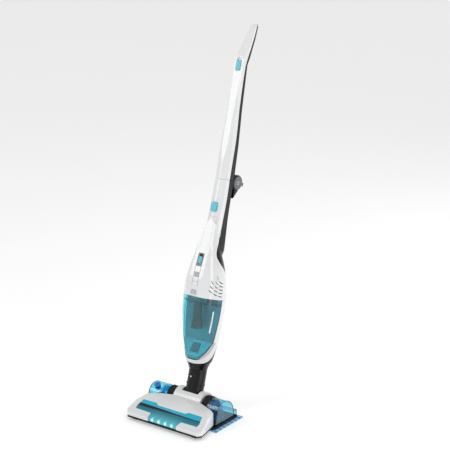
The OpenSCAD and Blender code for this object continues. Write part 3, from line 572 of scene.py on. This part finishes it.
def tube(line, radius, sides, closed=False):
    """Points and faces of a round tube along a line of points."""
    verts = []
    count = len(line)
    for i, p in enumerate(line):
        a = line[(i - 1) % count] if closed or i else p
        b = line[(i + 1) % count] if closed or i < count - 1 else p
        run = (Vector(b) - Vector(a)).normalized()
        steep = abs(run.z) > 0.95
        u = run.orthogonal().normalized() if steep else run.cross(Vector((0, 0, 1))).normalized()
        w = run.cross(u)
        verts += [Vector(p) + (u * math.cos(t) + w * math.sin(t)) * radius for t in circle(sides)]
    faces = grid_faces(count, sides, closed, True)
    if not closed:
        faces.append(tuple(range(sides)))
        faces.append(tuple((count - 1) * sides + k for k in range(sides)))
    return verts, faces


def turned(centre, axis, profile, sides=40):
    """A turned shape: profile is a closed list of (radius, height) along the axis from centre."""
    axis = Vector(axis).normalized()
    u = axis.orthogonal().normalized()
    w = axis.cross(u)
    verts = []
    for radius, height in profile:
        foot = Vector(centre) + axis * height
        verts += [foot + (u * math.cos(t) + w * math.sin(t)) * radius for t in circle(sides)]
    return verts, grid_faces(len(profile), sides, True, True)


def surface(node):
    mesh = frame["nodes"][node].data
    return BVHTree.FromPolygons([v.co for v in mesh.vertices], [p.vertices[:] for p in mesh.polygons])


def lay_on(tree, start, towards, lift=0.0):
    """The place where a ray meets a surface, lifted off it a little."""
    return tree.ray_cast(start, towards)[0] - towards * lift


# ------------------------------------------------------------------ mop cloth
CLOTH_STEP_X, CLOTH_STEP_Y = 0.0013, 0.0011
CLOTH_RIM, CLOTH_MIDDLE = 0.0022, 0.002
PILE_ROW, PILE_LOOP = 0.0033, 0.0041
STITCH = 0.0036


def pile(along_row, across_rows):
    """Height of the looped rows, from 0 to 1."""
    row = abs(math.sin(math.pi * across_rows / PILE_ROW))
    half_turns = 0.5 * math.floor(across_rows / PILE_ROW)
    loop = 0.5 + 0.5 * math.sin(2 * math.pi * (along_row / PILE_LOOP + half_turns))
    return row * (0.55 + 0.45 * loop)


def make_cloth(low, high):
    """Rows of looped pile on both faces, rounded at the rim."""
    nx, ny = int((high.x - low.x) / CLOTH_STEP_X), int((high.y - low.y) / CLOTH_STEP_Y)
    verts = []
    for face in (1, -1):
        for j in range(ny + 1):
            for i in range(nx + 1):
                x = low.x + (high.x - low.x) * i / nx
                y = low.y + (high.y - low.y) * j / ny
                inset = min(x - low.x, high.x - x, y - low.y, high.y - y)
                swell = math.sqrt(max(0.0, 1 - (1 - min(1, inset / CLOTH_RIM)) ** 2))
                loft = pile(x, y - low.y) * (0.8 + 0.2 * random.random())
                z = CLOTH_MIDDLE + face * (0.0004 + 0.00105 * swell + 0.0005 * loft * swell)
                out = 0 if inset > 1e-6 else 0.0004 * math.sin(2 * math.pi * (x + y) / 0.004)
                verts.append((x - math.copysign(out, x), y, z))
    cloth = piece("mop_cloth_pile", verts, slab_faces(ny + 1, nx + 1), "mop", "mop_stripe")
    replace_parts(cloth, "mop_cloth")
    return cloth


def make_overlock(low, high):
    """A zigzag thread round the rim of the cloth."""
    line = []
    corners = [(low.x, low.y), (high.x, low.y), (high.x, high.y), (low.x, high.y)]
    for (ax, ay), (bx, by) in zip(corners, corners[1:] + corners[:1]):
        length = math.hypot(bx - ax, by - ay)
        count = 2 * int(length / STITCH)
        inward = Vector((-(by - ay), bx - ax)) / length
        for n in range(count):
            t = n / count
            deep, z = (0.0026, 0.0034) if n % 2 else (0.0006, CLOTH_MIDDLE)
            line.append((ax + (bx - ax) * t + inward.x * deep, ay + (by - ay) * t + inward.y * deep, z))
    verts, faces = tube(line, 0.00032, 5, closed=True)
    return piece("mop_overlock", verts, faces, "mop", "mop_stripe", look="hem_thread")


cloth_low, cloth_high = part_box("mop_cloth")
cloth = make_cloth(cloth_low, cloth_high)
hem = make_overlock(cloth_low, cloth_high)


# ------------------------------------------------------------------ brush, spring and filter
BRUSH_MIDDLE = in_head(0, -100, 18.5)
BRUSH_HALF, TUFT_END = 0.0945, 0.0954
TUFT_ROWS, TUFTS, HAIRS = 6, 66, 8
TUFT_FOOT, TUFT_TIP, HAIR_RADIUS = 0.0097, 0.0167, 0.00016
TUFT_TWIST = math.radians(42)


def spoke(x, angle, reach):
    return Vector((x, math.cos(angle) * reach, math.sin(angle) * reach))


def make_tufts():
    """Tufts in rows that wind away from the middle of the brush."""
    verts, faces = [], []
    for row in range(TUFT_ROWS):
        for n in range(TUFTS):
            x = -BRUSH_HALF + 2 * BRUSH_HALF * n / (TUFTS - 1)
            turn = 2 * math.pi * row / TUFT_ROWS + TUFT_TWIST * abs(x) / BRUSH_HALF
            for _ in range(HAIRS):
                foot_x = x + random.uniform(-0.0009, 0.0009)
                angle = turn + random.uniform(-0.09, 0.09)
                splay = angle + random.uniform(-0.05, 0.05)
                tip_x = foot_x + random.uniform(-0.0008, 0.0008)
                tip_x = max(-TUFT_END, min(TUFT_END, tip_x))
                reach = TUFT_TIP - random.uniform(0, 0.0006)
                foot = BRUSH_MIDDLE + spoke(foot_x, angle, TUFT_FOOT)
                tip = BRUSH_MIDDLE + spoke(tip_x, splay, reach)
                u = Vector((HAIR_RADIUS, 0, 0))
                w = Vector((0, -math.sin(angle), math.cos(angle))) * HAIR_RADIUS
                base = len(verts)
                for centre, size in ((foot, 1.0), (tip, 0.6)):
                    verts += [centre + (u * math.cos(t) + w * math.sin(t)) * size for t in circle(3)]
                for q in range(3):
                    faces.append((base + q, base + (q + 1) % 3, base + 3 + (q + 1) % 3, base + 3 + q))
                faces += [(base + 3, base + 4, base + 5), (base + 2, base + 1, base)]
    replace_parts(piece("brush_tufts", verts, faces, "brush", "bristle"), "brush_bristles")


COIL_RADIUS, WIRE_RADIUS, COIL_LENGTH, COIL_TURNS, TURN_STEPS = 0.0024, 0.00035, 0.0074, 6, 16


def make_spring():
    """Release spring: the coil behind the button, at rest."""
    low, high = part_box("release_spring")
    middle = (low + high) / 2
    line = []
    for n in range(COIL_TURNS * TURN_STEPS + 1):
        t = n / (COIL_TURNS * TURN_STEPS)
        eased = t + 0.04 * math.sin(2 * math.pi * t)
        turn = 2 * math.pi * COIL_TURNS * t
        out = Vector((1, 0, 0)) * math.cos(turn) + STICK_UP * math.sin(turn)
        line.append(middle + out * COIL_RADIUS + STICK_BACK * (eased - 0.5) * COIL_LENGTH)
    verts, faces = tube(line, WIRE_RADIUS, 6)
    spring = piece("release_coil", verts, faces, "frame", "steel")
    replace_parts(spring, "release_spring")
    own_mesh(spring)


PLEATS, PLEAT_DEPTH, PLEAT_INNER, PLEAT_OUTER = 44, 5.6, 14.3, 16.2
FILTER_LOW, FILTER_TOP, FILTER_BACK = 291.2, 304.6, -57


def make_filter():
    """A ring of pleated paper."""
    ring = PLEATS * 4
    verts = []
    for inner in (PLEAT_INNER, PLEAT_OUTER):
        for s in (FILTER_LOW, FILTER_TOP):
            for k, t in enumerate(circle(ring)):
                radius = inner + abs((k % 4) - 2) / 2 * PLEAT_DEPTH
                verts.append(in_stick(radius * math.cos(t), FILTER_BACK + radius * math.sin(t), s))
    faces = []
    for k in range(ring):
        n = (k + 1) % ring
        wall = (k, n, ring + n, ring + k)
        edge = (k, n, 2 * ring + n, 2 * ring + k)
        faces += [wall, tuple(v + 2 * ring for v in wall), edge, tuple(v + ring for v in edge)]
    pleats = piece("filter_pleats", verts, faces, "cup", "filter_paper", smooth=False)
    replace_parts(pleats, "filter_core")


make_tufts()
make_spring()
make_filter()


# ------------------------------------------------------------------ marks on the cup and the neck
BAR_TOP, BAR_LOW, BAR_HALF, BAR_LENGTH = (-54.5, 273), (-46.5, 208), 2.0, 66
BAR_ROWS, BAR_COLUMNS = 48, 6
INK_FOOT, INK_TOP = 0.00005, 0.00022
OUTSIDE = 90


def make_cup_print(side, name):
    """A printed bar with round ends on one flank of the clear cup, laid on its surface."""
    tree = surface("dust_cup")
    verts = []
    for lift in (INK_FOOT, INK_TOP):
        for i in range(BAR_ROWS):
            t = i / (BAR_ROWS - 1)
            v = BAR_TOP[0] + (BAR_LOW[0] - BAR_TOP[0]) * t
            s = BAR_TOP[1] + (BAR_LOW[1] - BAR_TOP[1]) * t
            from_end = min(t, 1 - t) * BAR_LENGTH
            half = BAR_HALF * math.sqrt(max(0.004, 1 - max(0, 1 - from_end / BAR_HALF) ** 2))
            for j in range(BAR_COLUMNS):
                offset = half * (2 * j / (BAR_COLUMNS - 1) - 1)
                start = in_stick(side * OUTSIDE, v + offset, s + offset * 0.12)
                verts.append(lay_on(tree, start, Vector((-side, 0, 0)), lift))
    faces = slab_faces(BAR_ROWS, BAR_COLUMNS)
    piece("cup_print_" + name, verts, faces, "cup", "white_gloss", look="print_white")


def make_neck_mark():
    """A pale lock mark on the front of the neck, a little proud."""
    place = lay_on(surface("neck_tube"), in_stick(-5.9, -OUTSIDE, 69.5), STICK_BACK)
    profile = [(0.0004, -0.002), (0.0024, -0.002), (0.0024, 0.0005), (0.0020, 0.0009), (0.0004, 0.0010)]
    verts, faces = turned(place, -STICK_BACK, profile, 24)
    piece("neck_mark", verts, faces, "frame", "white_gloss")


# ------------------------------------------------------------------ inside the tank
CAP_AXIS = Matrix.Rotation(math.radians(20), 3, "X") @ Vector((0, 0, 1))
THROAT = [(8.4, -3.8), (8.4, -13), (7.8, -13.4), (7.4, -13), (7.4, -3.8)]
HOLDER = [(13.5, 0), (13.5, 4), (12.5, 5), (10.5, 22), (11.2, 23.2), (11.2, 24.5), (9.2, 24.5),
          (9.2, 23.5), (11.2, 4), (11.2, 0)]
ARCH = [(-44, 14), (-41, 34), (-35, 50), (-26, 60), (-13, 64.5), (-1, 63), (10, 56), (18, 44),
        (22, 30), (23, 14)]
ARCH_FOOT, ARCH_SHARE = (-11, 14), 0.72
RIB_FACES = (88.6, 90.2)


def in_metres(profile):
    return [(a / 1000, b / 1000) for a, b in profile]


def tank_piece(name, verts, faces, smooth=True):
    piece(name, verts, faces, "mop", "blue_plastic", look="blue_clear", smooth=smooth)


def make_throat():
    """The filler's throat under the cap."""
    tank_piece("tank_throat", *turned(in_head(-103, -32, 69.6), CAP_AXIS, in_metres(THROAT)))


def make_holder(side, name):
    """A stepped holder round the wick of one lobe."""
    shape = turned(in_head(side * 102, -15, 14), (0, 0, 1), in_metres(HOLDER))
    tank_piece("wick_holder_" + name, *shape)


def make_rib(side, name):
    """A curved partition that follows the arch of one lobe."""
    foot_y, foot_z = ARCH_FOOT
    inner = [(foot_y + (y - foot_y) * ARCH_SHARE, foot_z + (z - foot_z) * ARCH_SHARE) for y, z in ARCH]
    outline = ARCH + inner[::-1]
    verts = [in_head(side * x, y, z) for x in RIB_FACES for y, z in outline]
    count = len(outline)
    faces = []
    for k in range(len(ARCH) - 1):
        quad = (k, k + 1, count - 2 - k, count - 1 - k)
        faces += [quad, tuple(v + count for v in quad)]
    faces += [(k, (k + 1) % count, (k + 1) % count + count, k + count) for k in range(count)]
    tank_piece("tank_rib_" + name, verts, faces, smooth=False)


for side, name in SIDES:
    make_cup_print(side, name)
make_throat()
for side, name in SIDES:
    make_holder(side, name)
for side, name in SIDES:
    make_rib(side, name)
make_neck_mark()


# ------------------------------------------------------------------ floor
FLOOR_REACH, FLOOR_DROP = 60, 0.0002


def make_floor():
    corners = [(-1, -1), (1, -1), (1, 1), (-1, 1)]
    mesh = bpy.data.meshes.new("floor")
    verts = [(x * FLOOR_REACH, y * FLOOR_REACH, -FLOOR_DROP) for x, y in corners]
    mesh.from_pydata(verts, [], [(0, 1, 2, 3)])
    look = Look("floor", specular_ior_level=0.3, emission_strength=0.37)
    look.set("emission color", WHITE)
    look.tint((0.84, 0.84, 0.845), 0.006, 3).rough(0.32, 0.4, 8)
    mesh.materials.append(look.m)
    add_object("floor", mesh)


make_floor()
